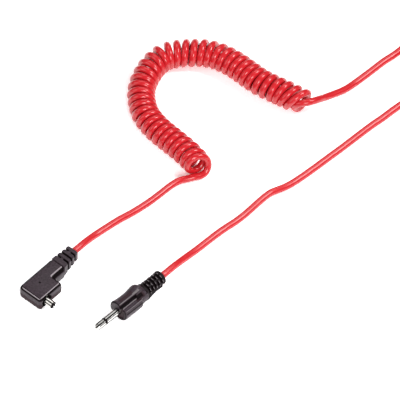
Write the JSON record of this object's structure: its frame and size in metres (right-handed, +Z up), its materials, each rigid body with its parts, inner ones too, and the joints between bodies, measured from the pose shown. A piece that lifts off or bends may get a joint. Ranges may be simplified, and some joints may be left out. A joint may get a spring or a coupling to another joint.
{
  "type": "coiled flash sync cord",
  "caption": "Springy curled flash synchronisation cord with a right-angle coaxial plug on one end and a straight mono jack plug on the other.",
  "frame": {"origin": "on the floor, under the middle of the box round the two plugs", "axes": "+X along the longer side of the box round the two plugs, from the right-angle plug towards the jack plug; +Z up from the surface the cord lies on"},
  "size_m": [0.2238, 0.1851, 0.0126],
  "materials": {
    "moulded": "satin",
    "premould": "matt",
    "nickel": "polished nickel plate",
    "brass": "plain",
    "black_plastic": "satin",
    "solder": "bright",
    "wire_jacket": "gloss",
    "cord": "gloss"
  },
  "bodies": {
    "root": {"angle_body": "moulded", "angle_strain_relief": "moulded", "angle_inner_mould": "premould", "angle_tip_sleeve": "nickel", "angle_tip_insulator": "premould", "angle_centre_pin": "nickel", "angle_screen_tag": "brass", "angle_core_wire": "wire_jacket", "angle_screen_wire": "brass", "angle_solder": "solder", "angle_cord_end": "cord", "jack_body": "moulded", "jack_strain_relief": "moulded", "jack_inner_mould": "premould", "jack_sleeve": "nickel", "jack_ring_insulator": "black_plastic", "jack_tip": "nickel", "jack_tube_insulator": "premould", "jack_rear_washer": "black_plastic", "jack_tip_tag": "brass", "jack_screen_tag": "brass", "jack_core_wire": "wire_jacket", "jack_screen_wire": "brass", "jack_solder": "solder", "jack_cord_end": "cord", "angle_lead": "cord", "curly_cord": "cord", "far_lead": "cord", "stored_coil": "cord", "coil_tie": "black_plastic", "jack_lead": "cord"}
  },
  "joints": []
}
